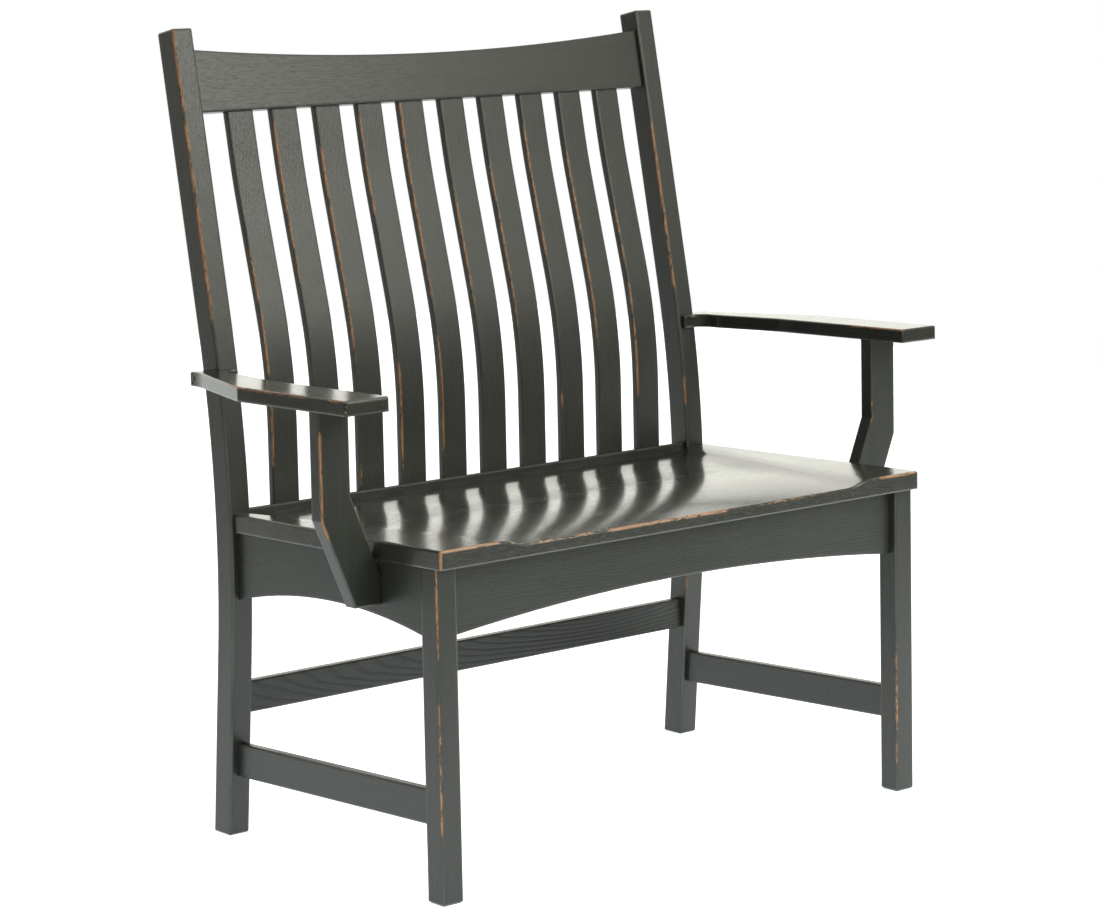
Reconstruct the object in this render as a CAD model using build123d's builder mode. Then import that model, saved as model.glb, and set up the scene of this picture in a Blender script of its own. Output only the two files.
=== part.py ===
from build123d import *
import os
from math import atan, cos, radians, sin, sqrt, tan

# Mission settle: a two-seat bench of painted oak with a slatted, raked back.
# Lengths are millimetres. +X runs across to the right as seen from the front,
# +Y runs to the back and +Z up. The origin is on the floor, midway across and
# midway between the front edge of the seat and the rear of the post heads.
# Inside the model, a depth is measured back from the faces of the front legs.

# Overall sizes
back_height = 1097.0
seat_height = 457.0
arm_rise = 191.6
back_rake = 10.7

# Fits
fit_gap = 0.2
cut_overrun = 5.0
edge_ease = 2.0
rail_ease = 1.2
arm_ease = 1.6

# Front legs, set in a little from the posts' outer faces
leg_inset = 7.2
leg_size = 32.3
foot_chamfer = 3.0

# Back posts, one piece from floor to head, bent at the seat
post_span = 858.0
post_width = 32.3
post_thickness = 38.0
post_foot_depth = 485.2
post_knee_depth = 444.3
post_knee_rise = 17.5
post_bend_radius = 1650.0

# Seat
seat_overhang = 13.2
seat_side_reveal = 2.2
seat_thickness = 25.0
seat_tilt = 1.15
seat_corner_radius = 5.0
seat_edge_ease = 2.2
scoop_front_sink = 8.0
scoop_back_sink = 11.5
scoop_front_margin = 94.0
scoop_back_margin = 8.0
scoop_ramp = 50.0

# Crest rail
crest_bottom_drop = 114.0
crest_thickness = 20.5
crest_setback = 7.0
crest_end_width = 86.0
crest_middle_width = 67.0

# Slats
slat_count = 10
slat_end_gap = 46.6
slat_width = 42.3
slat_thickness = 12.0
slat_insert = 12.0
slat_crest_inset = 5.5
slat_rail_inset = 2.2
slat_low_bend_share = 0.341445
slat_high_bend_share = 0.821293
slat_low_radius = 700.0
slat_high_radius = 1000.0

# Lower back rail, behind the seat
lower_rail_drop = 5.0
lower_rail_width = 98.0
lower_rail_thickness = 20.0
lower_rail_setback = 8.0

# Aprons under the seat
front_apron_recess = 11.5
front_apron_thickness = 18.5
front_apron_width = 90.6
front_apron_rise = 23.0
side_apron_recess = 2.8
side_apron_thickness = 19.0
side_apron_front_width = 88.6
side_apron_back_width = 92.7
side_apron_rise = 16.5

# Stretchers
side_stretcher_recess = 4.3
side_stretcher_thickness = 13.0
side_stretcher_width = 46.0
side_stretcher_front_height = 146.0
side_stretcher_back_height = 128.0
back_stretcher_top_height = 211.0
back_stretcher_width = 43.6
back_stretcher_thickness = 13.5
back_stretcher_setback = 10.5

# Tongues that join the rails to the legs and posts
tongue_thickness = 8.0
tongue_shoulder = 5.0
front_tongue = 14.0
side_front_tongue = 20.0
side_back_tongue = 12.0
rail_tongue = 21.0

# Arms
arm_slope = 0.86
arm_thickness = 19.0
arm_front_depth = 45.0
arm_clearance = 23.5
arm_width = 67.5
arm_corner_depth = 280.0
arm_taper_depth = 300.0
arm_neck_run = 38.0
arm_tail_width = 35.0
arm_tail_run = 19.0
arm_tail_bend_share = 0.85
arm_tail_lap = 16.0
arm_neck_width = 7.0
arm_ear_radius = 22.0
arm_ear_inset = 7.0
arm_ear_thickness = 7.0
arm_corner_radius = 3.0

# Arm supports
support_front_depth = 117.5
support_thickness = 22.0
support_inset = 11.0
support_width = 46.0
support_knee_rise = 31.0
support_foot_drop = 86.0
support_foot_reach = 41.0
support_slant_width = 57.0
support_tongue_width = 30.0
support_tongue_thickness = 12.0
support_tongue_height = 8.0

# Corner braces under the seat
brace_reach = 75.0
brace_thickness = 18.0
brace_height = 40.0

# Screws and plugs
screw_shank = 4.2
screw_head = 8.4
screw_head_height = 3.6
screw_tip = 6.0
screw_point_share = 0.2
screw_sides = 8
seat_screw_length = 52.0
brace_screw_length = 50.0
support_screw_length = 40.0
support_screw_spacing = 17.0
arm_screw_length = 38.0
plug_diameter = 10.0
plug_depth = 6.0

# Sizes that follow from the ones above
rake = radians(back_rake)
post_outer = post_span / 2
post_inner = post_outer - post_width
leg_outer = post_outer - leg_inset
leg_inner = leg_outer - leg_size
arm_inner_reach = post_outer + arm_clearance
arm_outer_reach = arm_inner_reach + arm_width
arm_height = seat_height + arm_rise
post_knee_height = seat_height + post_knee_rise
lower_rail_top_height = seat_height - lower_rail_drop
crest_bottom_height = back_height - crest_bottom_drop
support_outer_knee_height = seat_height + support_knee_rise
support_foot_height = seat_height - support_foot_drop
post_lean = atan((post_foot_depth - post_knee_depth) / post_knee_height)
head_height = back_height - post_thickness / 2 * sin(rake)
head_depth = post_knee_depth + (head_height - post_knee_height) * tan(rake)
head_rear_depth = head_depth + post_thickness / 2 * cos(rake)
front_y = (seat_overhang - head_rear_depth) / 2

# The posts' bend is an arc that runs into both straight lengths
bend_run = post_bend_radius * tan((post_lean + rake) / 2)
bend_low_height = post_knee_height - bend_run * cos(post_lean)
bend_high_height = post_knee_height + bend_run * cos(rake)
bend_centre_height = bend_high_height - post_bend_radius * sin(rake)
bend_centre_depth = post_knee_depth + bend_run * sin(rake) + post_bend_radius * cos(rake)


def post_depth(height, forward=0):
    """Depth at a height of the line that runs this far in front of a post's middle."""
    if height < bend_low_height:
        middle = post_knee_depth + (post_knee_height - height) * tan(post_lean)
        return middle - forward / cos(post_lean)
    if height > bend_high_height:
        middle = post_knee_depth + (height - post_knee_height) * tan(rake)
        return middle - forward / cos(rake)
    radius = post_bend_radius + forward
    return bend_centre_depth - sqrt(radius**2 - (height - bend_centre_height) ** 2)


def post_front(height):
    """Depth of a post's front face at a height."""
    return post_depth(height, post_thickness / 2)


def seat_drop(depth):
    """How far the tilted seat has sunk at a depth."""
    return (seat_overhang + depth) * tan(radians(seat_tilt))


def shifted(plane, offset):
    """The same plane with its origin moved by a vector of the bench's frame."""
    return Plane(plane.origin + Vector(*offset), x_dir=plane.x_dir, z_dir=plane.z_dir)


# Working planes. Their sketches are drawn in depths and heights.
def front_plane(depth, height=0):
    """Upright plane across the bench, x across and y up."""
    return shifted(Plane.XZ, (0, front_y + depth, height))


def side_plane(across):
    """Upright plane along the bench's side, x to the back and y up."""
    return shifted(Plane.YZ, (across, front_y, 0))


def level_plane(height, depth=0):
    """Level plane, x across and y to the back."""
    return shifted(Plane.XY, (0, front_y + depth, height))


def tilted_plane(depth, height, tilt):
    """Level plane tipped down to the back by an angle in degrees."""
    return Plane((0, front_y + depth, height)).rotated((-tilt, 0, 0))


seat_top = tilted_plane(-seat_overhang, seat_height, seat_tilt)
seat_bottom = seat_top.offset(-seat_thickness)
arm_top = tilted_plane(arm_front_depth, arm_height, arm_slope)
arm_bottom = arm_top.offset(-arm_thickness)


def flat_tongue(plane, length, width, thickness, mode=Mode.ADD):
    """A flat tongue that lies in the plane, or with Mode.SUBTRACT its mortise."""
    with BuildSketch(plane) as face:
        Rectangle(length, width)
    extrude(face.sketch, amount=thickness / 2, both=True, mode=mode)


def mortise(plane, length, width, thickness):
    """Cut the mortise for a flat tongue, larger all round by the fit."""
    room = 2 * fit_gap
    flat_tongue(plane, length + room, width + room, thickness + room, Mode.SUBTRACT)


def mirrored(part):
    """The left-hand copy of a right-hand piece."""
    with BuildPart() as copy:
        mirror(part, about=Plane.YZ)
    return copy.part


def save(part, name):
    """Label a finished piece and write it."""
    part.label = name
    export_step(part, f"parts/{name}.step")


os.makedirs("parts", exist_ok=True)


# Screws, drawn hanging from the plane that their heads lie flush with
def screw(plane, length, clearance=0):
    """Countersunk screw with few sides that points against the plane's normal."""
    head = screw_head / 2 + clearance
    shank = screw_shank / 2 + clearance
    point = shank * screw_point_share
    rings = [
        (0, head),
        (screw_head_height, shank),
        (length - screw_tip, shank),
        (length + clearance, point),
    ]
    with BuildPart() as body:
        for reach, radius in rings:
            with BuildSketch(plane.offset(-reach)):
                RegularPolygon(radius, screw_sides)
        loft(ruled=True)
    return body.part


def screw_group(planes, length):
    """All the screws of one kind, as separate solids."""
    with BuildPart() as group:
        for plane in planes:
            add(screw(plane, length))
    return group.part


def screw_holes(planes, length):
    """Cut the holes for screws on these planes."""
    for plane in planes:
        add(screw(plane, length, fit_gap), mode=Mode.SUBTRACT)


def both_sides(planes):
    """The right-hand planes, then their mirror images on the left."""
    images = []
    for plane in planes:
        origin = Vector(-plane.origin.X, plane.origin.Y, plane.origin.Z)
        normal = Vector(-plane.z_dir.X, plane.z_dir.Y, plane.z_dir.Z)
        images.append(Plane(origin, z_dir=normal))
    return planes + images


# Corner braces run at 45 degrees between the aprons, front and back
front_apron_inner = front_apron_recess + front_apron_thickness
side_apron_outer = leg_outer - side_apron_recess
side_apron_inner = side_apron_outer - side_apron_thickness
side_apron_centre = side_apron_outer - side_apron_thickness / 2
lower_rail_depth = post_front(lower_rail_top_height) + lower_rail_setback
brace_width = brace_thickness * sqrt(2)


def brace_corner(rear):
    """Depth of the inner corner that a brace stands in, and which way it faces."""
    if rear:
        return lower_rail_depth, -1
    return front_apron_inner, 1


def brace_plan_point(rear, along, away=0):
    """Plan place on a brace: along from its middle, away from its outer face."""
    corner, turn = brace_corner(rear)
    across = side_apron_inner - (brace_reach / 2 + away / sqrt(2)) + along / sqrt(2)
    return across, corner + turn * (brace_reach / 2 + away / sqrt(2) + along / sqrt(2))


def brace_bottom_height(rear):
    """Height of the underside of a brace."""
    corner, turn = brace_corner(rear)
    return seat_height - seat_thickness - brace_height - seat_drop(corner)


def seat_screw_planes(rear):
    """Two screws through each brace, up into the seat."""
    planes = []
    for side in (-1, 1):
        along = side * (brace_reach / sqrt(2) / 2 - brace_thickness / 2)
        across, depth = brace_plan_point(rear, along, brace_thickness / 2)
        planes.append(
            Plane((across, front_y + depth, brace_bottom_height(rear)), z_dir=(0, 0, -1))
        )
    return planes


def brace_screw_plane(rear):
    """One screw through the middle of a brace into the corner of the leg."""
    corner, turn = brace_corner(rear)
    across, depth = brace_plan_point(rear, 0, brace_thickness)
    height = brace_bottom_height(rear) + brace_height / 2
    return Plane((across, front_y + depth, height), z_dir=(-1, turn, 0))


seat_screws = {rear: seat_screw_planes(rear) for rear in (False, True)}
brace_screws = {rear: brace_screw_plane(rear) for rear in (False, True)}

# Two screws fix each arm support from inside the side apron
support_middle_depth = support_front_depth + support_thickness / 2
support_screws = [
    Plane(
        (
            side_apron_inner,
            front_y + support_middle_depth,
            support_foot_height + step * support_screw_spacing,
        ),
        z_dir=(-1, 0, 0),
    )
    for step in (0.5, 1.5)
]

# One plugged screw fixes each arm's tail to its post
arm_mid_height = arm_height - arm_thickness / 2
tail_outer = post_outer + arm_tail_width
tail_height = arm_mid_height - (post_knee_depth - arm_front_depth) * tan(radians(arm_slope))
tail_end_depth = post_front(tail_height) + arm_tail_lap
tail_screw_depth = tail_end_depth - arm_tail_lap / 2
tail_screw_plane = Plane(
    (tail_outer - plug_depth, front_y + tail_screw_depth, tail_height), z_dir=(1, 0, 0)
)


# Tongues of the rails, shared by each rail and the pieces it enters
def tongue_width(rail_width):
    """Width of a tongue, less than its rail by a shoulder at each edge."""
    return rail_width - 2 * tongue_shoulder


crest_bottom_depth = post_front(crest_bottom_height) + crest_setback / cos(rake)
crest_face = Plane(
    (0, front_y + crest_bottom_depth, crest_bottom_height),
    x_dir=(1, 0, 0),
    z_dir=(0, -cos(rake), sin(rake)),
)
crest_middle = crest_face.offset(-crest_thickness / 2)
crest_up = crest_face.y_dir
crest_tongue_width = tongue_width(crest_middle_width)
crest_tongue_plane = shifted(crest_middle, crest_up * (crest_middle_width / 2))
lower_rail_middle_depth = lower_rail_depth + lower_rail_thickness / 2
lower_rail_rear_depth = lower_rail_depth + lower_rail_thickness
lower_rail_rear_height = lower_rail_top_height - lower_rail_thickness * tan(rake)
lower_rail_bottom_height = lower_rail_top_height - lower_rail_width
lower_rail_mid_height = lower_rail_top_height - lower_rail_width / 2
back_stretcher_mid_height = back_stretcher_top_height - back_stretcher_width / 2
back_stretcher_depth = post_front(back_stretcher_mid_height) + back_stretcher_setback
back_stretcher_middle_depth = back_stretcher_depth + back_stretcher_thickness / 2


post_rails = [
    (crest_tongue_plane, crest_tongue_width),
    (
        front_plane(lower_rail_middle_depth, lower_rail_mid_height),
        tongue_width(lower_rail_width),
    ),
    (
        front_plane(back_stretcher_middle_depth, back_stretcher_mid_height),
        tongue_width(back_stretcher_width),
    ),
]
post_rail_length = 2 * (post_inner + rail_tongue)

front_apron_middle_depth = front_apron_recess + front_apron_thickness / 2
front_apron_top_height = seat_height - seat_thickness - seat_drop(front_apron_inner)
front_apron_end_height = front_apron_top_height - front_apron_width
front_apron_crown_height = front_apron_end_height + front_apron_rise
front_apron_mid_height = front_apron_top_height - front_apron_width / 2
front_apron_plane = front_plane(front_apron_middle_depth, front_apron_mid_height)
front_apron_length = 2 * (leg_inner + front_tongue)

side_stretcher_outer = leg_outer - side_stretcher_recess
side_stretcher_centre = side_stretcher_outer - side_stretcher_thickness / 2


def side_tongue(centre, start, end, front_heights, back_heights, gap=0, mode=Mode.ADD):
    """The tongue of a side rail, run from the front leg through to the back post.

    The heights are the rail's bottom and top at each end. A gap makes the mortise.
    """
    inset = tongue_shoulder - gap
    with BuildSketch(side_plane(centre)) as face:
        with BuildLine():
            Polyline(
                (start - gap, front_heights[0] + inset),
                (start - gap, front_heights[1] - inset),
                (end + gap, back_heights[1] - inset),
                (end + gap, back_heights[0] + inset),
                close=True,
            )
        make_face()
    extrude(face.sketch, amount=tongue_thickness / 2 + gap, both=True, mode=mode)


# The side apron's tongues stay below the seat and above the arch's ends
side_apron_start = leg_size
side_apron_top_start = seat_height - seat_thickness - seat_drop(leg_size)
side_apron_end = post_front(seat_height - seat_thickness)
side_apron_top_end = seat_height - seat_thickness - seat_drop(side_apron_end)
side_apron_front_height = side_apron_top_start - side_apron_front_width
side_apron_back_height = side_apron_top_end - side_apron_back_width
side_apron_crown_height = side_apron_front_height + side_apron_rise
side_apron_tongue = (
    side_apron_centre,
    side_apron_start - side_front_tongue,
    side_apron_end + side_back_tongue,
    (side_apron_front_height, side_apron_top_start),
    (side_apron_back_height, side_apron_top_end),
)
side_stretcher_end = post_front(side_stretcher_back_height)
side_stretcher_tongue = (
    side_stretcher_centre,
    leg_size - side_front_tongue,
    side_stretcher_end + side_back_tongue,
    (side_stretcher_front_height - side_stretcher_width, side_stretcher_front_height),
    (side_stretcher_back_height - side_stretcher_width, side_stretcher_back_height),
)

# Back posts: a bent band, square at the head and level at the floor
foot_run = post_thickness
with BuildPart() as post_blank:
    with BuildSketch(side_plane(post_inner)):
        with BuildLine():
            FilletPolyline(
                (post_foot_depth + foot_run * tan(post_lean), -foot_run),
                (post_knee_depth, post_knee_height),
                (head_depth, head_height),
                radius=post_bend_radius,
            )
        trace(line_width=post_thickness)
        with Locations((post_foot_depth, 0)):
            Rectangle(
                2 * post_thickness,
                2 * foot_run,
                align=(Align.CENTER, Align.MAX),
                mode=Mode.SUBTRACT,
            )
    extrude(amount=post_width)
    chamfer(post_blank.edges(), length=edge_ease)

with BuildPart() as back_post:
    add(post_blank.part)
    for plane, width in post_rails:
        mortise(plane, post_rail_length, width, tongue_thickness)
    side_tongue(*side_apron_tongue, gap=fit_gap, mode=Mode.SUBTRACT)
    side_tongue(*side_stretcher_tongue, gap=fit_gap, mode=Mode.SUBTRACT)
    screw_holes([brace_screws[True]], brace_screw_length)
    screw_holes([tail_screw_plane], arm_screw_length)
save(back_post.part, "back_post_right")
save(mirrored(back_post.part), "back_post_left")

# Front legs: square, cut off under the tilted seat
with BuildPart() as front_leg:
    with BuildSketch(level_plane(0)):
        with Locations((leg_outer, 0)):
            Rectangle(leg_size, leg_size, align=(Align.MAX, Align.MIN))
    extrude(amount=seat_height)
    chamfer(front_leg.faces().sort_by(Axis.Z)[0].edges(), length=foot_chamfer)
    fillet(front_leg.edges().filter_by(Axis.Z), radius=edge_ease)
    split(bisect_by=seat_bottom, keep=Keep.BOTTOM)
    mortise(
        front_apron_plane,
        front_apron_length,
        tongue_width(front_apron_width),
        tongue_thickness,
    )
    side_tongue(*side_apron_tongue, gap=fit_gap, mode=Mode.SUBTRACT)
    side_tongue(*side_stretcher_tongue, gap=fit_gap, mode=Mode.SUBTRACT)
    screw_holes([brace_screws[False]], brace_screw_length)
save(front_leg.part, "front_leg_right")
save(mirrored(front_leg.part), "front_leg_left")

# The slats' line: upright at the seat, bent back for the loins, then in line with
# the crest. Their ends fill mortises in the crest and in the lower rail.
slat_spacing = (2 * (post_inner - slat_end_gap) - slat_width) / (slat_count - 1)
slat_foot_depth = lower_rail_depth + slat_rail_inset + slat_thickness / 2
slat_head = crest_face.offset(-(slat_crest_inset + slat_thickness / 2)).origin
slat_head_depth = slat_head.Y - front_y
slat_rise = crest_bottom_height - seat_height
slat_low_bend_height = seat_height + slat_low_bend_share * slat_rise
slat_high_bend_height = seat_height + slat_high_bend_share * slat_rise
slat_line = [
    (slat_foot_depth, lower_rail_top_height - slat_insert),
    (slat_foot_depth, slat_low_bend_height),
    (
        slat_head_depth - (slat_head.Z - slat_high_bend_height) * tan(rake),
        slat_high_bend_height,
    ),
    (
        slat_head_depth + slat_insert * sin(rake),
        slat_head.Z + slat_insert * cos(rake),
    ),
]


def slat_mortises(plane):
    """Cut the row of mortises for the slats below a plane."""
    with BuildSketch(plane) as row:
        with GridLocations(slat_spacing, 0, slat_count, 1):
            Rectangle(slat_width + 2 * fit_gap, slat_thickness + 2 * fit_gap)
    extrude(row.sketch, amount=-(slat_insert + fit_gap), mode=Mode.SUBTRACT)


# Crest rail: straight below, hollowed in one arc along the top
with BuildPart() as crest_rail:
    with BuildSketch(crest_face):
        with BuildLine():
            Polyline(
                (-post_inner, crest_end_width),
                (-post_inner, 0),
                (post_inner, 0),
                (post_inner, crest_end_width),
            )
            ThreePointArc(
                (post_inner, crest_end_width),
                (0, crest_middle_width),
                (-post_inner, crest_end_width),
            )
        make_face()
    extrude(amount=-crest_thickness)
    chamfer(crest_rail.edges().filter_by(GeomType.CIRCLE), length=rail_ease)
    bottom_edges = crest_rail.edges().filter_by(Axis.X).sort_by(Axis.Z)
    chamfer(bottom_edges, length=rail_ease)
    flat_tongue(
        crest_tongue_plane, post_rail_length, crest_tongue_width, tongue_thickness
    )
    slat_mortises(Plane(slat_head, x_dir=crest_face.x_dir, z_dir=-crest_up))
save(crest_rail.part, "crest_rail")

# Lower back rail: the slats stand in its top edge, which falls to the back, and
# the seat meets its face
with BuildPart() as lower_back_rail:
    with BuildSketch(side_plane(-post_inner)):
        with BuildLine():
            Polyline(
                (lower_rail_depth, lower_rail_bottom_height),
                (lower_rail_depth, lower_rail_top_height),
                (lower_rail_rear_depth, lower_rail_rear_height),
                (lower_rail_rear_depth, lower_rail_bottom_height),
                close=True,
            )
        make_face()
    extrude(amount=2 * post_inner)
    chamfer(lower_back_rail.edges().filter_by(Axis.X), length=rail_ease)
    rail_plane, rail_tongue_width = post_rails[1]
    flat_tongue(rail_plane, post_rail_length, rail_tongue_width, tongue_thickness)
    slat_mortises(level_plane(lower_rail_top_height, slat_foot_depth))
    screw_holes(both_sides([brace_screws[True]]), brace_screw_length)
save(lower_back_rail.part, "lower_back_rail")

# Slats
for number in range(slat_count):
    slat_across = (number - (slat_count - 1) / 2) * slat_spacing
    with BuildPart() as slat:
        with BuildSketch(side_plane(slat_across - slat_width / 2)):
            with BuildLine():
                FilletPolyline(*slat_line, radius=[slat_low_radius, slat_high_radius])
            trace(line_width=slat_thickness)
        extrude(amount=slat_width)
        side_faces = slat.faces().filter_by(Axis.X)
        chamfer(side_faces.edges(), length=rail_ease)
    save(slat.part, f"slat_{number + 1:02d}")


def cut_arch(plane, start, crown, end):
    """Hollow a rail's lower edge in one arc through three places on its plane."""
    with BuildSketch(plane) as face:
        with BuildLine():
            ThreePointArc(start, crown, end)
            Line(end, start)
        make_face()
    extrude(face.sketch, amount=front_apron_thickness, both=True, mode=Mode.SUBTRACT)


# Front apron: arched below, flush under the seat
with BuildPart() as front_apron:
    with BuildSketch(front_plane(front_apron_recess, front_apron_end_height)):
        Rectangle(2 * leg_inner, seat_height, align=(Align.CENTER, Align.MIN))
    extrude(amount=-front_apron_thickness)
    flat_tongue(
        front_apron_plane,
        front_apron_length,
        tongue_width(front_apron_width),
        tongue_thickness,
    )
    split(bisect_by=seat_bottom, keep=Keep.BOTTOM)
    cut_arch(
        front_plane(front_apron_middle_depth),
        (-leg_inner, front_apron_end_height),
        (0, front_apron_crown_height),
        (leg_inner, front_apron_end_height),
    )
    chamfer(front_apron.edges().filter_by(GeomType.CIRCLE), length=rail_ease)
save(front_apron.part, "front_apron")

# Side aprons: arched below and scribed to the bend of the posts
side_apron_middle = (side_apron_start + side_apron_end) / 2
with BuildPart() as side_apron:
    with BuildSketch(side_plane(side_apron_inner)):
        with BuildLine():
            Polyline(
                (side_apron_start, side_apron_front_height),
                (side_apron_start, seat_height),
                (side_apron_end + post_thickness / 2, seat_height),
                (side_apron_end + post_thickness / 2, side_apron_back_height),
                (side_apron_end, side_apron_back_height),
                close=True,
            )
        make_face()
    extrude(amount=side_apron_thickness)
    split(bisect_by=seat_bottom, keep=Keep.BOTTOM)
    add(post_blank.part, mode=Mode.SUBTRACT)
    side_tongue(*side_apron_tongue)
    cut_arch(
        side_plane(side_apron_centre),
        (side_apron_start, side_apron_front_height),
        (side_apron_middle, side_apron_crown_height),
        (side_apron_end, side_apron_back_height),
    )
    screw_holes(support_screws, support_screw_length)
save(side_apron.part, "side_apron_right")
save(mirrored(side_apron.part), "side_apron_left")

# Side stretchers: straight rails that fall a little to the back
with BuildPart() as side_stretcher:
    with BuildSketch(side_plane(side_stretcher_outer - side_stretcher_thickness)):
        with BuildLine():
            Polyline(
                (leg_size, side_stretcher_front_height - side_stretcher_width),
                (leg_size, side_stretcher_front_height),
                (
                    side_stretcher_end + post_thickness / 2,
                    side_stretcher_back_height,
                ),
                (
                    side_stretcher_end + post_thickness / 2,
                    side_stretcher_back_height - side_stretcher_width,
                ),
                close=True,
            )
        make_face()
    extrude(amount=side_stretcher_thickness)
    long_edges = side_stretcher.edges().filter_by(Axis.X, reverse=True)
    chamfer(long_edges.filter_by(Axis.Z, reverse=True), length=rail_ease)
    add(post_blank.part, mode=Mode.SUBTRACT)
    side_tongue(*side_stretcher_tongue)
save(side_stretcher.part, "side_stretcher_right")
save(mirrored(side_stretcher.part), "side_stretcher_left")

# Back stretcher, level between the posts
with BuildPart() as back_stretcher:
    with BuildSketch(front_plane(back_stretcher_depth, back_stretcher_mid_height)):
        Rectangle(2 * post_inner, back_stretcher_width)
    extrude(amount=-back_stretcher_thickness)
    chamfer(back_stretcher.edges().filter_by(Axis.X), length=rail_ease)
    rail_plane, rail_tongue_width = post_rails[2]
    flat_tongue(rail_plane, post_rail_length, rail_tongue_width, tongue_thickness)
save(back_stretcher.part, "back_stretcher")


# Seat: one glued panel with a shallow scoop, notched round the posts
def scoop_section(depth, half, sink):
    """Cross-section of the scoop: a level floor that rises to the seat's face in ogees."""
    low = half - scoop_ramp
    middle = half - scoop_ramp / 2
    lift = cut_overrun
    start = shifted(seat_top, seat_top.y_dir * (seat_overhang + depth))
    plane = Plane(start.origin, x_dir=start.x_dir, z_dir=-start.y_dir)
    with BuildSketch(plane) as section:
        with BuildLine():
            Polyline((-half, 0), (-half, lift), (half, lift), (half, 0))
            TangentArc((half, 0), (middle, -sink / 2), tangent=(-1, 0))
            TangentArc((low, -sink), (middle, -sink / 2), tangent=(1, 0))
            Line((low, -sink), (-low, -sink))
            TangentArc((-low, -sink), (-middle, -sink / 2), tangent=(-1, 0))
            TangentArc((-half, 0), (-middle, -sink / 2), tangent=(1, 0))
        make_face()
    return section.sketch


seat_half = leg_outer + seat_side_reveal
scoop_front = scoop_section(
    -seat_overhang - cut_overrun, seat_half - scoop_front_margin, scoop_front_sink
)
scoop_back = scoop_section(
    lower_rail_depth + cut_overrun, seat_half - scoop_back_margin, scoop_back_sink
)
with BuildPart() as seat:
    with BuildSketch(level_plane(seat_height - 2 * seat_thickness)) as plan:
        with Locations((0, -seat_overhang)):
            Rectangle(
                2 * seat_half,
                seat_overhang + lower_rail_depth,
                align=(Align.CENTER, Align.MIN),
            )
        front_corners = plan.vertices().sort_by(Axis.Y)[:2]
        fillet(front_corners, radius=seat_corner_radius)
    extrude(amount=3 * seat_thickness)
    split(bisect_by=seat_top, keep=Keep.BOTTOM)
    split(bisect_by=seat_bottom, keep=Keep.TOP)
    loft([scoop_front, scoop_back], ruled=True, mode=Mode.SUBTRACT)
    front_face = seat.faces().filter_by(Axis.Y).sort_by(Axis.Y)[0]
    front_face_middle = front_face.center().Z
    front_edges = front_face.edges().filter_by(lambda edge: edge.center().Z > front_face_middle)
    chamfer(front_edges.filter_by(Axis.Z, reverse=True), length=seat_edge_ease)
    add(post_blank.part, mode=Mode.SUBTRACT)
    add(mirrored(post_blank.part), mode=Mode.SUBTRACT)
    for rear in (False, True):
        screw_holes(both_sides(seat_screws[rear]), seat_screw_length)
save(seat.part, "seat")


# Arm supports: upright under the arm, then slanted in to the side apron
support_outer = arm_outer_reach - support_inset
support_inner = support_outer - support_width
support_foot_outer = side_apron_outer + support_foot_reach
support_slant_share = (support_outer - support_foot_outer) / (
    support_outer_knee_height - support_foot_height
)
support_foot_inner = support_foot_outer - support_slant_width
support_inner_knee_height = (
    support_foot_height + (support_inner - support_foot_inner) / support_slant_share
)
support_foot_meet_height = (
    support_foot_height + (side_apron_outer - support_foot_inner) / support_slant_share
)
support_middle_across = (support_inner + support_outer) / 2


def support_tongue_plane():
    """Where the support's tongue passes through the underside of the arm."""
    middle = support_middle_depth - arm_front_depth
    offset = arm_bottom.y_dir * middle + arm_bottom.x_dir * support_middle_across
    return shifted(arm_bottom, offset)


with BuildPart() as arm_support:
    with BuildSketch(front_plane(support_front_depth)):
        with BuildLine():
            Polyline(
                (side_apron_outer, support_foot_height),
                (support_foot_outer, support_foot_height),
                (support_outer, support_outer_knee_height),
                (support_outer, arm_height),
                (support_inner, arm_height),
                (support_inner, support_inner_knee_height),
                (side_apron_outer, support_foot_meet_height),
                close=True,
            )
        make_face()
    extrude(amount=-support_thickness)
    chamfer(arm_support.faces().filter_by(Axis.Y).edges(), length=rail_ease)
    split(bisect_by=arm_bottom, keep=Keep.BOTTOM)
    with BuildSketch(support_tongue_plane()):
        Rectangle(support_tongue_width, support_tongue_thickness)
    extrude(amount=support_tongue_height)
    screw_holes(support_screws, support_screw_length)
save(arm_support.part, "arm_support_right")
save(mirrored(arm_support.part), "arm_support_left")

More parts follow.
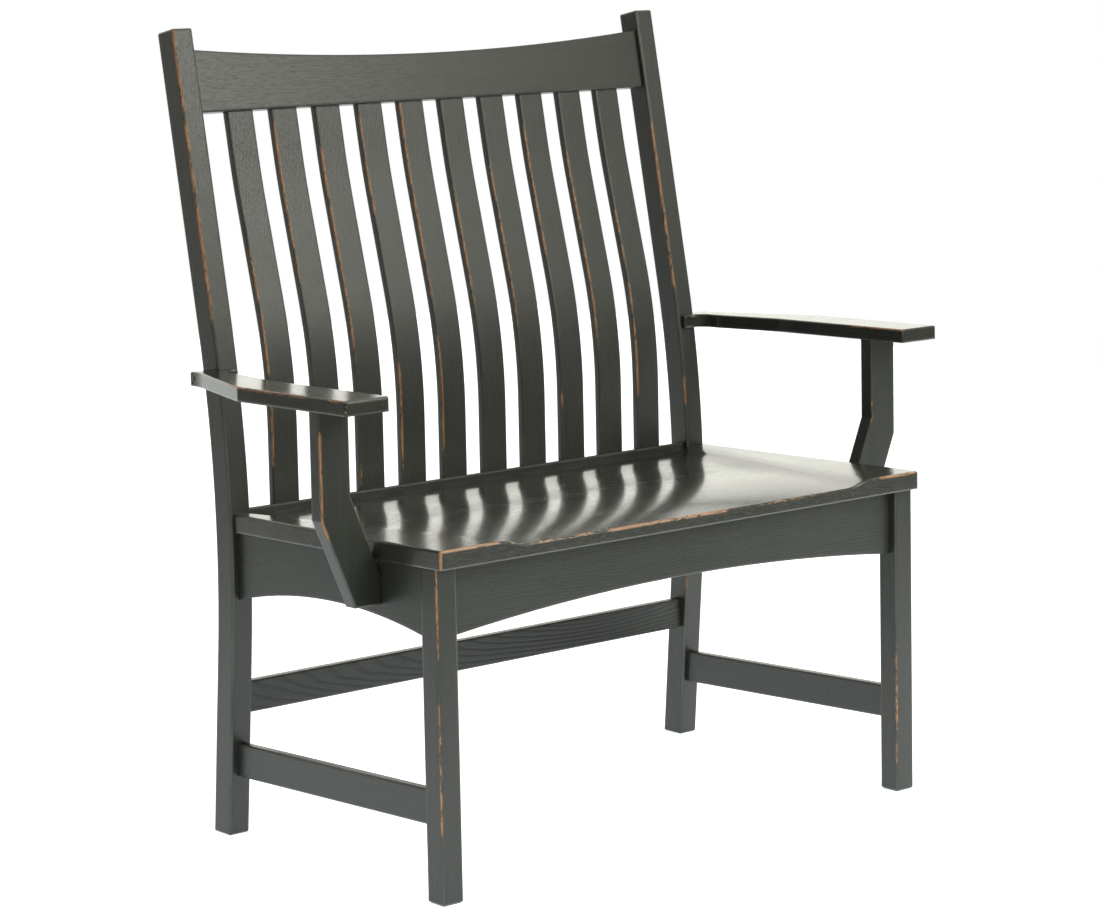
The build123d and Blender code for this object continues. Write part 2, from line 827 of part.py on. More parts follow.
# Arms: broad at the front, drawn in to a tail that laps the post
arm_ear_inner = post_inner + arm_ear_inset
arm_ear_depth = post_front(tail_height) - arm_ear_thickness
arm_neck_inner = post_outer + arm_neck_width
arm_neck_depth = arm_ear_depth - arm_neck_run
tail_bend_depth = tail_end_depth - arm_tail_run
tail_turn = atan((arm_outer_reach - tail_outer) / (tail_bend_depth - arm_corner_depth))
tail_bend_radius = arm_tail_bend_share * arm_tail_run / tan(tail_turn / 2)
with BuildPart() as arm:
    with BuildSketch(shifted(arm_top, arm_top.y_dir * -arm_front_depth)) as plan:
        with BuildLine():
            Line((arm_inner_reach, arm_front_depth), (arm_outer_reach, arm_front_depth))
            Line((arm_outer_reach, arm_front_depth), (arm_outer_reach, arm_corner_depth))
            FilletPolyline(
                (arm_outer_reach, arm_corner_depth),
                (tail_outer, tail_bend_depth),
                (tail_outer, tail_end_depth),
                radius=tail_bend_radius,
            )
            Polyline(
                (tail_outer, tail_end_depth),
                (post_outer - post_width / 2, tail_end_depth),
                (arm_ear_inner, tail_end_depth),
                (arm_ear_inner, arm_ear_depth),
            )
            FilletPolyline(
                (arm_ear_inner, arm_ear_depth),
                (arm_neck_inner, arm_ear_depth),
                (arm_neck_inner, arm_neck_depth),
                radius=arm_ear_radius,
            )
            Polyline(
                (arm_neck_inner, arm_neck_depth),
                (arm_inner_reach, arm_taper_depth),
                (arm_inner_reach, arm_front_depth),
            )
        make_face()
        fillet(plan.vertices().sort_by(Axis.Y)[:2], radius=arm_corner_radius)
    extrude(amount=-arm_thickness)
    chamfer(arm.faces().filter_by(arm_top).sort_by(Axis.Z)[-1].edges(), length=arm_ease)
    add(post_blank.part, mode=Mode.SUBTRACT)
    with BuildSketch(support_tongue_plane()):
        Rectangle(
            support_tongue_width + 2 * fit_gap, support_tongue_thickness + 2 * fit_gap
        )
    extrude(amount=support_tongue_height + fit_gap, mode=Mode.SUBTRACT)
    screw_holes([tail_screw_plane], arm_screw_length)
    with BuildSketch(tail_screw_plane):
        Circle(plug_diameter / 2 + fit_gap)
    extrude(amount=plug_depth + cut_overrun, mode=Mode.SUBTRACT)
save(arm.part, "arm_right")
save(mirrored(arm.part), "arm_left")

# Wooden plugs over the screws in the arms' tails
with BuildPart() as arm_plugs:
    with BuildSketch(tail_screw_plane):
        Circle(plug_diameter / 2)
    extrude(amount=plug_depth)
    mirror(about=Plane.YZ)
save(arm_plugs.part, "arm_plugs")

# Corner braces
for rear, place in ((False, "front"), (True, "back")):
    corner, turn = brace_corner(rear)
    near = corner + turn * brace_reach
    far = corner + turn * (brace_reach + brace_width)
    with BuildPart() as brace:
        with BuildSketch(level_plane(brace_bottom_height(rear))):
            with BuildLine():
                Polyline(
                    (side_apron_inner - brace_reach, corner),
                    (side_apron_inner, near),
                    (side_apron_inner, far),
                    (side_apron_inner - brace_reach - brace_width, corner),
                    close=True,
                )
            make_face()
        extrude(amount=2 * brace_height)
        split(bisect_by=seat_bottom, keep=Keep.BOTTOM)
        screw_holes(seat_screws[rear], seat_screw_length)
        screw_holes([brace_screws[rear]], brace_screw_length)
    save(brace.part, f"corner_brace_{place}_right")
    save(mirrored(brace.part), f"corner_brace_{place}_left")

# Screws, each kind in one group
all_seat_screws = both_sides(seat_screws[False] + seat_screws[True])
all_brace_screws = both_sides([brace_screws[False], brace_screws[True]])
save(screw_group(all_seat_screws, seat_screw_length), "seat_screws")
save(screw_group(all_brace_screws, brace_screw_length), "brace_screws")
save(screw_group(both_sides(support_screws), support_screw_length), "support_screws")
save(screw_group(both_sides([tail_screw_plane]), arm_screw_length), "arm_screws")
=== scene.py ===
import math
import random

import bpy
from mathutils import Matrix, Vector


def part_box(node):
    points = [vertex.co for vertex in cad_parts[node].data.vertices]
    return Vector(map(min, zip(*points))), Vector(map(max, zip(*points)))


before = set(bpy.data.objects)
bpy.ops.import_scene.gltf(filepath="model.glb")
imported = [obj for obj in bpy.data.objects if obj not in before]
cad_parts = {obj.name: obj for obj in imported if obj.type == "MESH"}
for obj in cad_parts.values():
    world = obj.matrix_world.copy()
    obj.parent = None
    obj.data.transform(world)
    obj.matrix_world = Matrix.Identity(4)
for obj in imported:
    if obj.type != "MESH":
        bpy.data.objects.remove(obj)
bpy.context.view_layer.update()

# The camera stands in front of the bench's left corner, a little above it
CAMERA_PLACE = (-2.8625, -3.4703, 1.2081)
CAMERA_YAW = 39.283
CAMERA_PITCH = -6.93
CAMERA_ROLL = -1.175
CAMERA_LENS = 107.49
CAMERA_SENSOR = 36.0
CAMERA_SHIFT = (0.01424, -0.11041)
CAMERA_REACH = 50.0

# Paint and wood, as linear colours
CHARCOAL = (0.0200, 0.0220, 0.0175)
CHARCOAL_PALE = (0.033, 0.036, 0.029)
# Pale thin paint on the edges, which also stands for a painted edge highlight
CHARCOAL_THIN_AND_HIGHLIGHT = (0.125, 0.132, 0.110)
PORE_BLACK = (0.010, 0.011, 0.010)
RUBBED_OAK = (0.50, 0.260, 0.114)
RUBBED_DARK = (0.17, 0.066, 0.024)
BARE_OAK = (0.42, 0.27, 0.14)
BARE_OAK_DARK = (0.24, 0.13, 0.055)
ZINC = (0.55, 0.56, 0.58)
ZINC_DULL = (0.33, 0.33, 0.31)
WHITE = (1.0, 1.0, 1.0)
LAMP_WHITE = (1.0, 0.995, 0.91)

# The room, as shares of the lamp's white: dim in front, and bright behind the bench,
# the way that the camera looks
BEHIND = (0.633, 0.774, 0.0)
BEHIND_EDGES = (0.25, 0.85)
ROOM_DIM = 0.32
ROOM_BRIGHT = 1.80

# The soft box in front, in metres and watts
BOX_PLACE = (1.12, -3.02, 2.65)
BOX_TARGET = (0.0, 0.1, 0.6)
BOX_SIZE = 2.4
BOX_POWER = 128.0

# The floor glows a little, so that it stays white where the bench shades it
FLOOR_LEFT, FLOOR_RIGHT = -1.5, 4.0
FLOOR_FRONT, FLOOR_BACK = -1.4, 5.0
FLOOR_TONES = ((0.84, 0.845, 0.90), (0.86, 0.865, 0.92))
FLOOR_CLOUDS = 3.0
FLOOR_ROUGHNESS = 0.9
FLOOR_GLOW = (0.91, 0.99, 1.0, 1.0)
FLOOR_GLOW_STRENGTH = 0.90

# The depth of the relief in metres, and how strongly light shows it
PAINT_RELIEF, SAWN_RELIEF, TURNED_RELIEF = 0.00016, 0.0002, 0.00005
WOOD_RELIEF_STRENGTH, ZINC_RELIEF_STRENGTH = 0.6, 0.4

AXES = {"X": 0, "Y": 1, "Z": 2}
UP = (0.0, 0.0, 1.0)

# Noises drawn out along the grain: how fine they are across it and along it, then
# their scale, detail and roughness
NOISES = {
    "sway": (0.5, 1.0, 2.3, 1.0, 0.5),
    "drift": (2.0, 0.7, 3.0, 2.0, 0.5),
    "ripple": (14.0, 2.6, 3.0, 2.0, 0.5),
    "patches": (3.0, 1.0, 9.0, 3.0, 0.65),
    "nibble": (1.0, 0.22, 520.0, 3.0, 0.65),
    "long_nibble": (1.0, 0.30, 90.0, 2.0, 0.6),
    "clouds": (1.0, 0.4, 9.0, 3.0, 0.6),
    "streaks": (26.0, 0.9, 9.0, 3.0, 0.6),
    "fibre": (60.0, 1.6, 15.0, 2.0, 0.5),
    "pores": (130.0, 8.0, 10.0, 2.0, 0.5),
    "sawn_fibre": (60.0, 1.6, 16.0, 2.0, 0.5),
    "sawn_pores": (130.0, 9.0, 10.0, 2.0, 0.5),
}

# Each board's noises are moved by up to this much, so that no two boards are alike
NOISE_SHIFT = 9.0

# How far a worn stretch of an edge fades out at its ends, in metres
WORN_FADE = 0.02


class Signal:
    """A socket that can be used in sums: each sum adds its Math node."""

    def __init__(self, palette, socket):
        self.palette = palette
        self.socket = socket

    def maths(self, operation, *values):
        return self.palette.node(
            "ShaderNodeMath", {"operation": operation}, dict(enumerate(values))
        )

    def __add__(self, other):
        return self.maths("ADD", self, other)

    def __sub__(self, other):
        return self.maths("SUBTRACT", self, other)

    def __mul__(self, other):
        return self.maths("MULTIPLY", self, other)

    def __truediv__(self, other):
        return self.maths("DIVIDE", self, other)

    def __pow__(self, other):
        return self.maths("POWER", self, other)

    def __rsub__(self, other):
        return self.maths("SUBTRACT", other, self)

    __radd__ = __add__
    __rmul__ = __mul__

    def fraction(self):
        return self.maths("FRACT", self)

    def size(self):
        return self.maths("ABSOLUTE", self)

    def swing(self):
        """How far a noise is from its middle value."""
        return self - 0.5

    def most(self, other):
        return self.maths("MAXIMUM", self, other)

    def step(self, low, high):
        """0 below low, 1 above high, and smooth between them."""
        settings = {"interpolation_type": "SMOOTHSTEP", "clamp": True}
        values = {"Value": self, "From Min": low, "From Max": high}
        return self.palette.node("ShaderNodeMapRange", settings, values)


class Palette:
    """Where the nodes of one material, or of the world, are mixed."""

    def __init__(self, holder, shader):
        holder.use_nodes = True
        self.holder = holder
        self.tree = holder.node_tree
        self.shader = self.tree.nodes[shader]

    def node(self, kind, settings=None, values=None, output=0):
        """Any node: its settings first, then the values or links of its sockets."""
        made = self.tree.nodes.new(kind)
        for name, value in (settings or {}).items():
            setattr(made, name, value)
        for name, value in (values or {}).items():
            self.feed(made.inputs[name], value)
        return Signal(self, made.outputs[output])

    def feed(self, socket, value):
        if isinstance(value, Signal):
            self.tree.links.new(value.socket, socket)
        else:
            socket.default_value = value

    def split(self, vector):
        """The three parts of a vector."""
        made = self.node("ShaderNodeSeparateXYZ", None, {0: vector})
        return [Signal(self, socket) for socket in made.socket.node.outputs]

    def vector(self, x, y, z):
        return self.node("ShaderNodeCombineXYZ", None, {0: x, 1: y, 2: z})

    def dot(self, first, second):
        settings = {"operation": "DOT_PRODUCT"}
        return self.node("ShaderNodeVectorMath", settings, {0: first, 1: second}, "Value")

    def blend(self, share, first, second):
        """Two colours mixed by a share."""
        values = {0: share, 6: self.colour(first), 7: self.colour(second)}
        settings = {"data_type": "RGBA", "clamp_factor": True}
        return self.node("ShaderNodeMix", settings, values, 2)

    def lean(self, share, first, second):
        """Two directions mixed by a share."""
        settings = {"data_type": "VECTOR"}
        return self.node("ShaderNodeMix", settings, {0: share, 4: first, 5: second}, 1)

    def colour(self, value):
        return value if isinstance(value, Signal) else (*value, 1.0)

    def noise(self, place, scale, detail=2.0, roughness=0.5):
        """Smooth noise from 0 to 1 at a place."""
        values = {"Vector": place, "Scale": scale, "Detail": detail, "Roughness": roughness}
        return self.node("ShaderNodeTexNoise", None, values)

    def bump(self, height, distance, strength, **normal):
        values = {"Height": height, "Distance": distance, "Strength": strength, **normal}
        return self.node("ShaderNodeBump", None, values)

    def finish(self, **sockets):
        """Feed the shader's sockets. Underscores stand for spaces."""
        for name, value in sockets.items():
            self.feed(self.shader.inputs[name.replace("_", " ")], value)
        return self.holder


def material_palette(name):
    return Palette(bpy.data.materials.new(name), "Principled BSDF")


class Board:
    """One board's own directions: across its face, through it and along its grain."""

    def __init__(self, palette, node, along, lying, rng):
        place = palette.node("ShaderNodeTexCoord", output="Object")
        parts = palette.split(place)
        low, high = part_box(node)
        cross = [axis for name, axis in AXES.items() if name != along]
        if along != "Z" and not lying:
            cross.reverse()
        self.palette = palette
        self.face, self.depth = [parts[axis] for axis in cross]
        self.middle = [(low[axis] + high[axis]) / 2 for axis in cross]
        self.length = parts[AXES[along]]
        self.shift = [rng.uniform(-NOISE_SHIFT, NOISE_SHIFT) for _ in range(3)]

    def noise(self, name):
        """One of the noises that are drawn out along the grain."""
        across, along, scale, detail, roughness = NOISES[name]
        place = self.palette.vector(
            self.face * across + self.shift[0],
            self.depth * across + self.shift[1],
            self.length * along + self.shift[2],
        )
        return self.palette.noise(place, scale, detail, roughness)

    def span(self, start, end):
        """1 between two places along the board, and fading out beyond them."""
        return self.length.step(start - WORN_FADE, start + WORN_FADE) * (
            1.0 - self.length.step(end - WORN_FADE, end + WORN_FADE)
        )


# How far the heart drifts behind the board, in metres, how much of a ring's width the
# rings ripple, and where the dark early wood starts and ends, as shares of a year
HEART_DRIFT = 0.02
RING_RIPPLE = 0.9
EARLY_WOOD_START = (0.0, 0.10)
EARLY_WOOD_END = (0.08, 0.62)


def growth_rings(board, heart, ring_width):
    """The dark early wood of each year where a saw has opened it, from 0 to 1.

    The heart is how far it lies across and behind the board's middle, how far it
    wanders, how fast the board runs out of it, and the place along it that is nearest.
    """
    across, behind, wander, slope, crown = heart
    sway = board.noise("sway")
    drift = board.noise("drift")
    ripple = board.noise("ripple")
    off = board.face - (board.middle[0] + across) + sway.swing() * wander
    deep = (board.length - crown) * slope + board.depth + drift.swing() * HEART_DRIFT
    deep = deep + (behind - board.middle[1])
    radius = (off * off + deep * deep) ** 0.5
    year = ((radius + ripple.swing() * ring_width * RING_RIPPLE) / ring_width).fraction()
    return (1.0 - year.step(*EARLY_WOOD_END)) * year.step(*EARLY_WOOD_START)


# Which pair of directions an edge lies between, and on which side it is handled most
EDGE_PAIRS = {"Z": (0, 1, 1.0), "X": (1, 2, -1.0), "Y": (0, 2, -1.0)}

# An edge shows where the rounded normal turns off the face's own, or leans both ways of
# the pair. The worn spans reach further over an edge than the patches do
ROUNDING_SAMPLES = 6
SHARP_TURN = (0.02, 0.14)
CORNER_LEAN = (0.5, 0.9)
WORN_LEAN = (0.16, 0.62)

# How much the upright corners of a lying board lean
LYING_LEAN = 1.2

# How strong the fine and the long breaks in a worn span are, and the fine ones in a
# patch, and the soft border of each. The patches' border is before the chance comes off
FINE_BREAKS, LONG_BREAKS, PATCH_BREAKS = 2.6, 2.8, 0.25
WORN_BORDER = (0.47, 0.73)
PATCH_BORDER = (0.99, 1.02)

# How thin the paint is all along an edge, how much thinner in patches, and their border
# The pale thin paint also stands for a painted highlight, where eased edges catch light
THIN_AND_HIGHLIGHT_EVERYWHERE, THIN_AND_HIGHLIGHT_IN_PATCHES = 0.12, 0.5
THIN_AND_HIGHLIGHT_BORDER = (0.25, 0.70)


def rubbed_edge(board, along, lying, worn_spans, reach, chance):
    """Where hands and cloths have rubbed an edge through, and where only thin.

    The thin paint is also a painted highlight, a pale line where an eased edge catches
    light. The third result is the rounded normal. The reach is how far the rounding goes,
    in metres, and the chance is how much of an edge is rubbed outside the worn spans.
    """
    palette = board.palette
    rounded = palette.node("ShaderNodeBevel", {"samples": ROUNDING_SAMPLES}, {"Radius": reach})
    turn = palette.split(rounded)
    normal = palette.node("ShaderNodeNewGeometry", output="Normal")
    sharp = (1.0 - palette.dot(rounded, normal)).step(*SHARP_TURN)
    first, second, side = EDGE_PAIRS[along]
    # 1 half way between the two directions
    lean = turn[first] * turn[second] * (2.0 * side)
    if lying:
        lean = lean.most(turn[0] * turn[1] * LYING_LEAN)
    patches = board.noise("patches")
    nibble = board.noise("nibble")
    long_nibble = board.noise("long_nibble")
    ragged = 1.0 + nibble.swing() * FINE_BREAKS + long_nibble.swing() * LONG_BREAKS
    border_low, border_high = [mark - chance for mark in PATCH_BORDER]
    handled = (patches + nibble.swing() * PATCH_BREAKS).step(border_low, border_high)
    edge = sharp if along == "X" else sharp.most(lean.size().step(*CORNER_LEAN))
    rub = edge * handled
    for start, end, share in worn_spans:
        worn = board.span(start, end) * lean.step(*WORN_LEAN) * share
        rub = rub.most((worn * ragged).step(*WORN_BORDER))
    # Thin paint along every edge, which is also a painted highlight: a pale line of light
    thin_and_highlight = edge * (patches.step(*THIN_AND_HIGHLIGHT_BORDER) * THIN_AND_HIGHLIGHT_IN_PATCHES + THIN_AND_HIGHLIGHT_EVERYWHERE)
    return rub, thin_and_highlight, rounded


# The seat's shape from front to back, as places along Y in metres: where its front
# falls away, where the hollow comes and goes, and where the back rises
FRONT_FALL = (-0.30, -0.07)
HOLLOW_COMES = (-0.14, -0.02)
HOLLOW_GOES = (-0.02, 0.09)
BACK_RISE = (0.02, 0.14)

# Where the shape fades out towards the seat's ends, in metres from its half length
ROLL_FADE = (-0.22, 0.04)

# How far up a face looks to count as the top, and how much flatter the scoop looks
TOP_FACING = (0.85, 0.97)
SCOOP_EASING = 0.80


def rolled_over(board, normal, roll):
    """The seat's top as light sees it: it rises to the back and rolls to the front.

    The roll is how steep the back, the hollow and the front are, and the half length
    of the seat that is so shaped.
    """
    palette = board.palette
    back, hollow, front, half = roll
    sides = palette.split(normal)
    top = sides[2].step(*TOP_FACING)
    eased = palette.lean(top * SCOOP_EASING, normal, UP)
    fade_start, fade_end = [half + reach for reach in ROLL_FADE]
    middle = 1.0 - board.length.size().step(fade_start, fade_end)
    depth = board.face
    rise = depth.step(*BACK_RISE) * back
    dip = depth.step(*HOLLOW_COMES) * (1.0 - depth.step(*HOLLOW_GOES)) * hollow
    fall = (1.0 - depth.step(*FRONT_FALL)) * front
    tilt = palette.vector(0.0, (dip - rise - fall) * middle * top, 0.0)
    tilted = palette.node("ShaderNodeVectorMath", {"operation": "ADD"}, {0: eased, 1: tilt})
    return palette.node("ShaderNodeVectorMath", {"operation": "NORMALIZE"}, {0: tilted})


# A glue line: its half width, and how far off its middle it has faded out, in metres,
# and how dark and how much rougher it is
GLUE_LINE = (0.0004, 0.0018)
GLUE_DARK, GLUE_ROUGH = 0.4, 0.08

# Where the noise is high enough for a pore, how dark pores are in the paint, and how
# much darker in early wood
PORES = (0.52, 0.66)
PORE_DARK, PORE_DARKER = 0.16, 0.5

# Where clouds and streaks begin, and how much they and the fibres lighten the paint
CLOUDS, CLOUD_LIGHT = (0.30, 0.72), 0.34
STREAKS, STREAK_LIGHT = (0.30, 0.70), 0.34
FIBRE_LIGHT = 0.42

# Where the fibres of rubbed wood are dark, and how dark they and its pores are
RUBBED_FIBRES, RUBBED_FIBRE_DARK = (0.35, 0.68), 0.8
RUBBED_PORE_DARK = 0.4

# What clouds, streaks, pores and rubbing add to the roughness
CLOUD_ROUGH, STREAK_ROUGH, PORE_ROUGH, RUB_ROUGH = 0.07, 0.08, 0.10, 0.22

# How high fibres stand, and how deep pores, early wood and rubbed places lie, as shares
# of the relief
FIBRE_HIGH, PORE_DEEP, RING_DEEP, RUB_DEEP = 0.10, 0.5, 1.6, 0.35


def painted_oak(
    node,
    along,
    seed,
    worn_spans=(),
    lying=False,
    paint=CHARCOAL,
    roughness=0.34,
    heart=(0.035, 0.020, 0.020, 0.0, 0.0),
    ring_width=0.0042,
    figure=0.16,
    reach=0.0046,
    chance=0.26,
    relief=1.0,
    joints=(),
    roll=None,
    ior=1.5,
):
    """Charcoal paint over open-grained oak, rubbed through along the edges.

    The figure is how dark the early wood shows through, the relief how deep the
    surface is, next to most boards, and the joints are glue lines across the face.
    """
    rng = random.Random(seed)
    palette = material_palette("paint_" + node)
    board = Board(palette, node, along, lying, rng)
    rings = growth_rings(board, heart, ring_width)
    fibre = board.noise("fibre")
    streaks = board.noise("streaks")
    clouds = board.noise("clouds")
    pores = board.noise("pores").step(*PORES)
    rub, thin_and_highlight, rounded = rubbed_edge(board, along, lying, worn_spans, reach, chance)
    if roll:
        rounded = rolled_over(board, rounded, roll)
    seam = None
    for place in joints:
        line = 1.0 - (board.face - place).size().step(*GLUE_LINE)
        seam = line if seam is None else seam.most(line)
    pale = clouds.step(*CLOUDS) * CLOUD_LIGHT + streaks.step(*STREAKS) * STREAK_LIGHT
    pale = pale + fibre.swing() * FIBRE_LIGHT
    dark = rings * figure + pores * (rings * PORE_DARKER + PORE_DARK)
    tone = palette.blend(dark, palette.blend(pale, paint, CHARCOAL_PALE), PORE_BLACK)
    wood_dark = fibre.step(*RUBBED_FIBRES) * RUBBED_FIBRE_DARK + pores * RUBBED_PORE_DARK
    wood = palette.blend(wood_dark, RUBBED_OAK, RUBBED_DARK)
    rough = roughness + clouds.swing() * CLOUD_ROUGH + streaks.swing() * STREAK_ROUGH
    rough = rough + pores * PORE_ROUGH + rub * RUB_ROUGH
    height = fibre * FIBRE_HIGH - pores * PORE_DEEP - rings * figure * RING_DEEP
    height = height - rub * RUB_DEEP
    if seam is not None:
        tone = palette.blend(seam * GLUE_DARK, tone, PORE_BLACK)
        rough = rough + seam * GLUE_ROUGH
    # The pale thin paint on the edges is partly wear and partly a painted highlight
    tone = palette.blend(rub, palette.blend(thin_and_highlight, tone, CHARCOAL_THIN_AND_HIGHLIGHT), wood)
    return palette.finish(
        Base_Color=tone,
        Roughness=rough,
        Normal=palette.bump(
            height, PAINT_RELIEF * relief, WOOD_RELIEF_STRENGTH, Normal=rounded
        ),
        IOR=ior,
    )


# Sawn oak: its heart and rings, where its pores and dark fibres lie, how dark its early
# wood is and how much darker with pores, how rough it is, and how high its fibres stand
SAWN_HEART, SAWN_RING_WIDTH = (0.0, 0.04, 0.03, 0.0, 0.0), 0.004
SAWN_PORES, SAWN_FIBRES = (0.42, 0.60), (0.3, 0.7)
SAWN_RING_DARK, SAWN_PORE_DARKER = 0.3, 0.7
SAWN_ROUGHNESS, SAWN_PORE_ROUGH, SAWN_FIBRE_SMOOTH = 0.62, 0.2, 0.08
SAWN_FIBRE_HIGH = 0.3


def bare_oak(node, along, seed):
    """Sawn oak that was left unpainted, as under the seat."""
    rng = random.Random(seed)
    palette = material_palette("bare_oak_" + node)
    board = Board(palette, node, along, False, rng)
    rings = growth_rings(board, SAWN_HEART, SAWN_RING_WIDTH)
    fibre = board.noise("sawn_fibre")
    pores = board.noise("sawn_pores").step(*SAWN_PORES)
    tone = palette.blend(fibre.step(*SAWN_FIBRES), BARE_OAK, BARE_OAK_DARK)
    dark = rings * (pores * SAWN_PORE_DARKER + SAWN_RING_DARK)
    height = fibre * SAWN_FIBRE_HIGH - pores * rings
    return palette.finish(
        Base_Color=palette.blend(dark, tone, RUBBED_DARK),
        Roughness=SAWN_ROUGHNESS + pores * SAWN_PORE_ROUGH - fibre * SAWN_FIBRE_SMOOTH,
        Normal=palette.bump(height, SAWN_RELIEF, WOOD_RELIEF_STRENGTH),
    )


# Where the zinc has gone dull in colour, where it also looks less like metal, and by
# how much, how rough it is, and how much rougher its turning marks are
DULL, DULLER = (0.45, 0.8), (0.6, 0.9)
METAL_LOST = 0.3
ZINC_ROUGHNESS, MARK_ROUGH = 0.28, 0.25


def zinc_screws(node):
    """Zinc-plated screws with fine turning marks."""
    palette = material_palette("zinc_" + node)
    place = palette.node("ShaderNodeTexCoord", output="Object")
    marks = palette.noise(place, scale=900.0, detail=3.0, roughness=0.7)
    stain = palette.noise(place, scale=60.0)
    return palette.finish(
        Base_Color=palette.blend(stain.step(*DULL), ZINC, ZINC_DULL),
        Metallic=1.0 - stain.step(*DULLER) * METAL_LOST,
        Roughness=marks * MARK_ROUGH + ZINC_ROUGHNESS,
        Normal=palette.bump(marks, TURNED_RELIEF, ZINC_RELIEF_STRENGTH),
    )


# The way the grain of each piece runs, by the start of its name
GRAIN = {
    "front_leg": "Z",
    "back_post": "Z",
    "arm_support": "Z",
    "slat": "Z",
    "crest_rail": "X",
    "lower_back_rail": "X",
    "back_stretcher": "X",
    "front_apron": "X",
    "seat": "X",
    "arm_plugs": "X",
    "side_apron": "Y",
    "side_stretcher": "Y",
    "arm": "Y",
    "corner_brace": "X",
}

# Stretches of each piece's most handled edge: from, to, and how far they are rubbed
WORN = {
    "arm_left": [(-0.260, -0.200, 0.75), (-0.160, 0.040, 0.85)],
    "arm_right": [(-0.250, -0.120, 0.60)],
    "arm_support_left": [(0.455, 0.600, 1.0)],
    "arm_support_right": [(0.500, 0.560, 0.55)],
    "back_post_left": [(0.700, 1.110, 0.78)],
    "back_post_right": [(0.200, 0.270, 0.42), (0.500, 0.560, 0.65), (0.680, 0.940, 0.80)],
    "front_leg_left": [(0.070, 0.260, 0.64), (0.310, 0.440, 0.82)],
    "front_leg_right": [(0.030, 0.220, 0.62)],
    "seat": [
        (-0.510, -0.330, 1.15),
        (-0.320, -0.150, 0.50),
        (-0.150, 0.060, 1.20),
        (0.060, 0.270, 0.44),
        (0.300, 0.480, 0.66),
    ],
    "slat_01": [(0.500, 0.620, 0.75), (0.630, 0.800, 1.0)],
    "slat_02": [(0.750, 0.970, 0.95)],
    "slat_03": [(0.450, 0.500, 0.60), (0.630, 0.930, 0.95)],
    "slat_04": [(0.470, 0.620, 1.0), (0.830, 0.970, 0.90)],
    "slat_05": [(0.480, 0.660, 0.95), (0.680, 0.760, 0.60), (0.760, 0.990, 1.0)],
    "slat_06": [(0.680, 0.860, 0.85)],
    "slat_07": [(0.650, 0.900, 0.70)],
    "slat_08": [(0.520, 0.560, 0.60), (0.750, 0.950, 0.78)],
    "slat_09": [(0.610, 0.900, 0.85)],
    "slat_10": [(0.530, 0.700, 0.82), (0.720, 0.820, 0.60)],
}

# What sets each piece's paint apart
PAINT = {
    "seat": {
        "lying": True,
        "roughness": 0.16,
        "ior": 1.85,
        "figure": 0.10,
        "reach": 0.0034,
        "chance": 0.12,
        "relief": 0.38,
        "joints": (-0.020,),
        "roll": (0.11, 0.07, 0.14, 0.42),
    },
    "arm": {
        "lying": True,
        "roughness": 0.17,
        "figure": 0.10,
        "relief": 0.5,
        "chance": 0.22,
    },
    "arm_support": {"figure": 0.08},
    "arm_plugs": {"roughness": 0.4, "chance": 0.0, "figure": 0.4, "paint": PORE_BLACK},
    "back_stretcher": {
        "heart": (0.036, 0.012, 0.018, 0.15, 0.28),
        "ring_width": 0.0058,
        "figure": 1.0,
        "relief": 1.4,
    },
    "crest_rail": {
        "heart": (-0.070, 0.030, 0.060, 0.05, -0.1),
        "figure": 0.15,
        "relief": 0.6,
    },
    "front_apron": {"heart": (-0.080, 0.040, 0.050, 0.04, 0.1), "figure": 0.26},
    "side_apron": {"heart": (-0.080, 0.040, 0.040, 0.04, 0.1), "figure": 0.24},
    "side_stretcher": {"heart": (0.040, 0.030, 0.030, 0.05, 0.0), "figure": 0.30},
}


def named(table, node, default=None):
    """What a table holds for a node, by the longest start of its name that it lists."""
    names = [name for name in table if node.startswith(name)]
    return table[max(names, key=len)] if names else default


def dress_all():
    """A material of its own for every CAD node."""
    for seed, node in enumerate(sorted(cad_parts)):
        along = named(GRAIN, node)
        if node.endswith("screws"):
            material = zinc_screws(node)
        elif node.startswith("corner_brace"):
            material = bare_oak(node, along, seed)
        else:
            worn = WORN.get(node, ())
            material = painted_oak(node, along, seed, worn, **named(PAINT, node, {}))
        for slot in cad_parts[node].material_slots:
            slot.material = material


def pale_floor():
    """A plain pale floor."""
    mesh = bpy.data.meshes.new("floor")
    corners = [
        (FLOOR_LEFT, FLOOR_FRONT, 0.0),
        (FLOOR_RIGHT, FLOOR_FRONT, 0.0),
        (FLOOR_RIGHT, FLOOR_BACK, 0.0),
        (FLOOR_LEFT, FLOOR_BACK, 0.0),
    ]
    mesh.from_pydata(corners, [], [(0, 1, 2, 3)])
    floor = bpy.data.objects.new("floor", mesh)
    bpy.context.collection.objects.link(floor)
    palette = material_palette("floor_paper")
    place = palette.node("ShaderNodeTexCoord", output="Object")
    clouds = palette.noise(place, FLOOR_CLOUDS)
    palette.finish(
        Base_Color=palette.blend(clouds, *FLOOR_TONES),
        Roughness=FLOOR_ROUGHNESS,
        Emission_Color=FLOOR_GLOW,
        Emission_Strength=FLOOR_GLOW_STRENGTH,
    )
    mesh.materials.append(palette.holder)


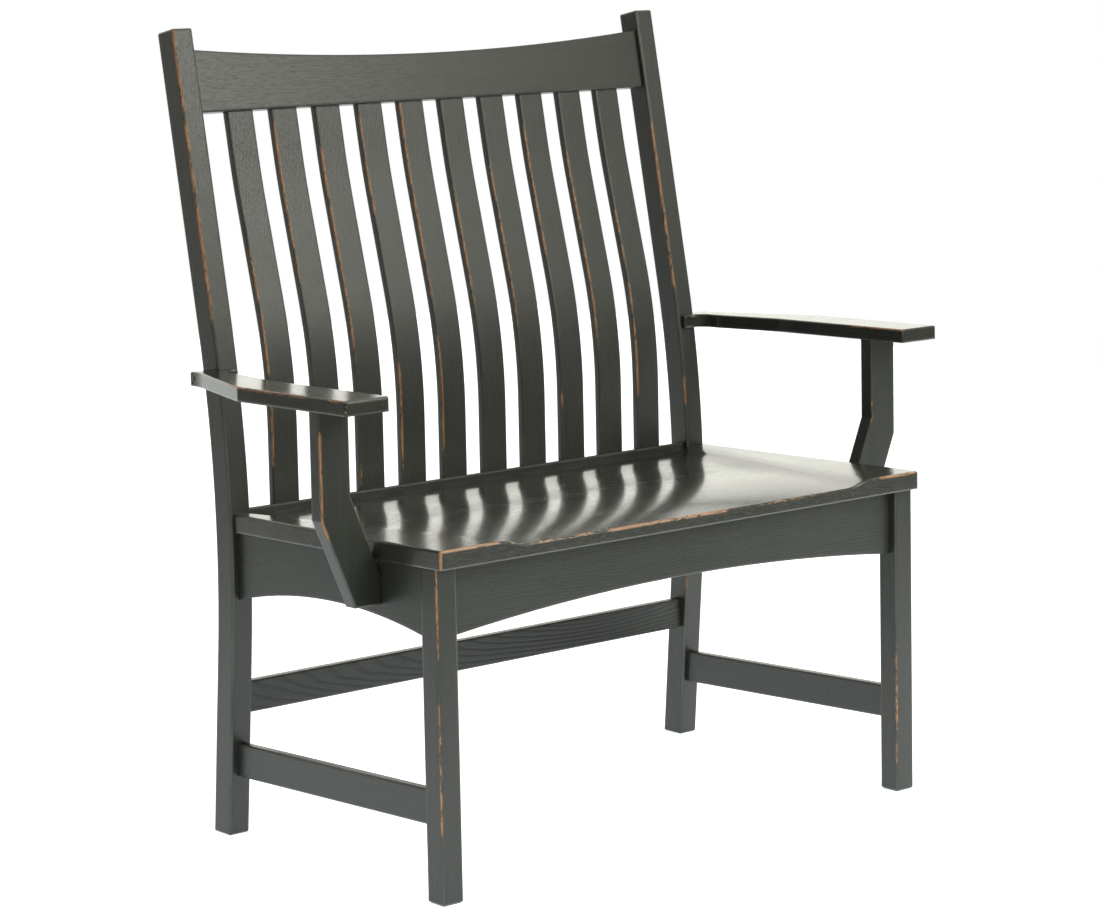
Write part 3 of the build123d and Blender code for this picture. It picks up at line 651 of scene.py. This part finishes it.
def soft_box():
    """One large square soft box in front of the bench, aimed at it."""
    data = bpy.data.lights.new("front_box", "AREA")
    data.shape = "SQUARE"
    data.size = BOX_SIZE
    data.energy = BOX_POWER
    data.color = LAMP_WHITE
    lamp = bpy.data.objects.new("front_box", data)
    lamp.location = BOX_PLACE
    aim = Vector(BOX_TARGET) - Vector(BOX_PLACE)
    lamp.rotation_euler = aim.to_track_quat("-Z", "Y").to_euler()
    bpy.context.collection.objects.link(lamp)


def white_room():
    """A white room, dim in front of the bench and bright behind it."""
    world = bpy.data.worlds.new("studio")
    palette = Palette(world, "Background")
    sky = palette.node("ShaderNodeTexCoord", output="Generated")
    behind = palette.dot(sky, BEHIND).step(*BEHIND_EDGES)
    seen = palette.node("ShaderNodeLightPath", output="Is Camera Ray")
    dim = [ROOM_DIM * part for part in LAMP_WHITE]
    bright = [ROOM_BRIGHT * part for part in LAMP_WHITE]
    room = palette.blend(behind, dim, bright)
    palette.finish(Color=palette.blend(seen, room, WHITE), Strength=1.0)
    bpy.context.scene.world = world


def photo_camera():
    """The camera that took the picture."""
    yaw = math.radians(CAMERA_YAW)
    pitch = math.radians(CAMERA_PITCH)
    roll = math.radians(CAMERA_ROLL)
    level = Vector((math.sin(yaw), math.cos(yaw), 0.0))
    side = Vector((math.cos(yaw), -math.sin(yaw), 0.0))
    up = Vector(UP)
    ahead = level * math.cos(pitch) + up * math.sin(pitch)
    top = up * math.cos(pitch) - level * math.sin(pitch)
    right = side * math.cos(roll) + top * math.sin(roll)
    top = top * math.cos(roll) - side * math.sin(roll)
    data = bpy.data.cameras.new("camera")
    data.lens = CAMERA_LENS
    data.sensor_width = CAMERA_SENSOR
    data.sensor_fit = "HORIZONTAL"
    data.shift_x, data.shift_y = CAMERA_SHIFT
    data.clip_end = CAMERA_REACH
    camera = bpy.data.objects.new("camera", data)
    turn = Matrix((right, top, -ahead)).transposed().to_4x4()
    camera.matrix_world = Matrix.Translation(CAMERA_PLACE) @ turn
    bpy.context.collection.objects.link(camera)
    bpy.context.scene.camera = camera


dress_all()
pale_floor()
white_room()
soft_box()
photo_camera()
bpy.context.scene.view_settings.view_transform = "Standard"
